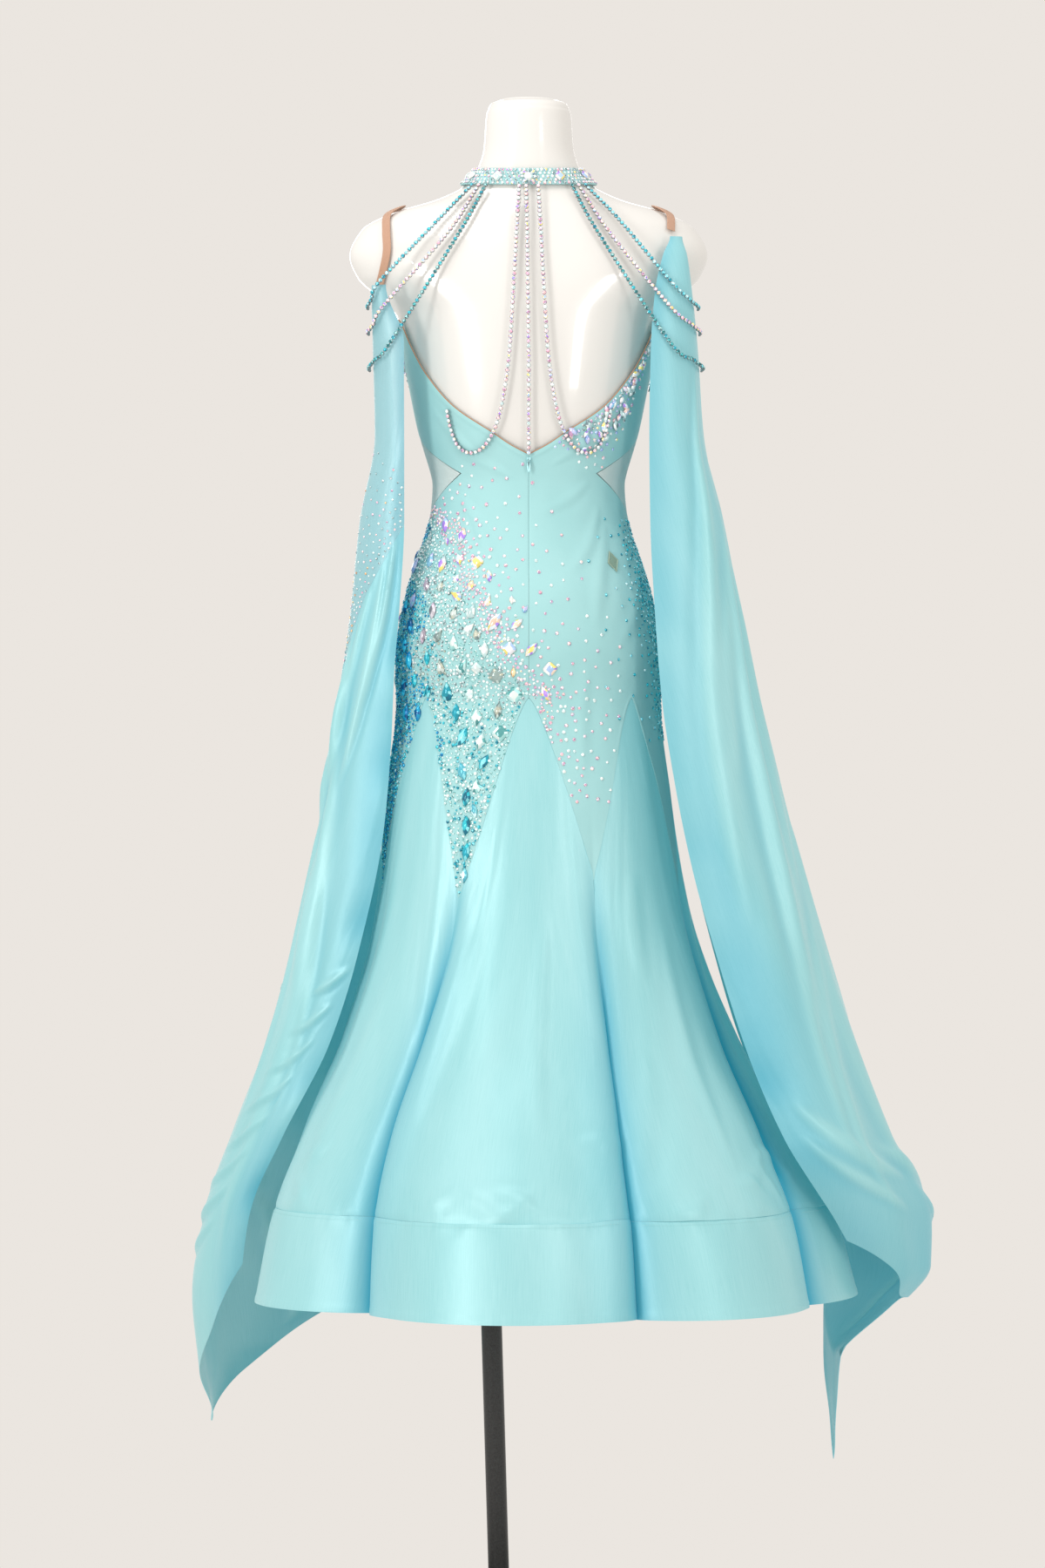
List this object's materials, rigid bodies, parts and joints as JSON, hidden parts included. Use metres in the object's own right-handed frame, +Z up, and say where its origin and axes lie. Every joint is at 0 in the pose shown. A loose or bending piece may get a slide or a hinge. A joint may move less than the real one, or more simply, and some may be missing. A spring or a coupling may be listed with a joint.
{
  "type": "ballroom dance dress on a dress form and stand",
  "caption": "Backless halter ballroom dance dress with fluted satin godets, stiff hem bands and long shoulder floats, worn on a limbless dress form on a pole stand.",
  "frame": {"origin": "on the floor, at the height of the stand base's underside, below the middle of the form", "axes": "+Z up, the dress faces -Y and its zip is at +Y, +X is the wearer's left"},
  "size_m": [0.9187, 0.7534, 1.863],
  "materials": {
    "crepe": "matt stretch crepe, aqua",
    "mesh": "sheer stretch mesh, pale aqua",
    "satin": "lustrous satin, aqua",
    "sheer": "sheer satin, aqua",
    "elastic": "skin-tone elastic",
    "stones": "faceted stones, iridescent",
    "chain": "cup chain, teal and pale pink stones",
    "zip": "painted zip, aqua",
    "form": "glossy white",
    "steel": "black powder coat"
  },
  "bodies": {
    "dress": {"arm_chain_left_1": "chain", "arm_chain_left_2": "chain", "arm_chain_left_3": "chain", "arm_chain_right_1": "chain", "arm_chain_right_2": "chain", "arm_chain_right_3": "chain", "back_left": "crepe", "back_right": "crepe", "collar": "stones", "collar_clasp": "stones", "drape_centre": "chain", "drape_left": "chain", "drape_right": "chain", "float_left": "satin", "float_right": "satin", "form_torso": "form", "front": "crepe", "godet_1": "satin", "godet_2": "satin", "godet_3": "satin", "godet_4": "satin", "godet_5": "satin", "godet_6": "satin", "godet_7": "satin", "hem_band_1": "satin", "hem_band_2": "satin", "hem_band_3": "satin", "hem_band_4": "satin", "hem_band_5": "satin", "hem_band_6": "satin", "hem_band_7": "satin", "inset_left": "mesh", "inset_right": "mesh", "sleeve_left": "sheer", "stand_base": "steel", "stand_flange": "steel", "stand_pole": "steel", "strap_left": "elastic", "strap_right": "elastic", "zip_slider": "zip"},
    "zip_tab": {"zip_pull": "zip"}
  },
  "joints": [
    {"name": "pull_swing", "type": "hinge", "parent": "dress", "child": "zip_tab", "pos_m": [0, 0.08931, 1.415], "axis": [1, 0, 0], "range_deg": [0, 120]}
  ]
}
